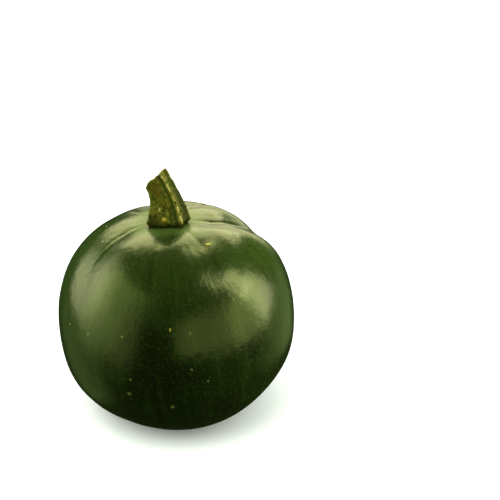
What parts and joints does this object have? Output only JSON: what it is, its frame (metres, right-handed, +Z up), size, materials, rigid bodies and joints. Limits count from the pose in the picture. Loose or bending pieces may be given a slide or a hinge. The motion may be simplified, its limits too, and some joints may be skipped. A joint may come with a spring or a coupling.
{
  "type": "gem squash",
  "caption": "Round dark green summer squash with soft shoulder grooves and a ridged, obliquely cut stem, resting on a small flat underside.",
  "frame": {"origin": "on the surface that the squash rests on, under the middle of the box that it fills", "axes": "+Z up, from the blossom end to the stem; -Y the fruit's front, as pictured; the stem leans towards -X"},
  "size_m": [0.0901, 0.09, 0.1009],
  "materials": {
    "rind": null,
    "stem": "dry, rough olive brown with pale ridges and a tan cut"
  },
  "bodies": {
    "root": {"fruit": "rind", "stem": "stem"}
  },
  "joints": []
}
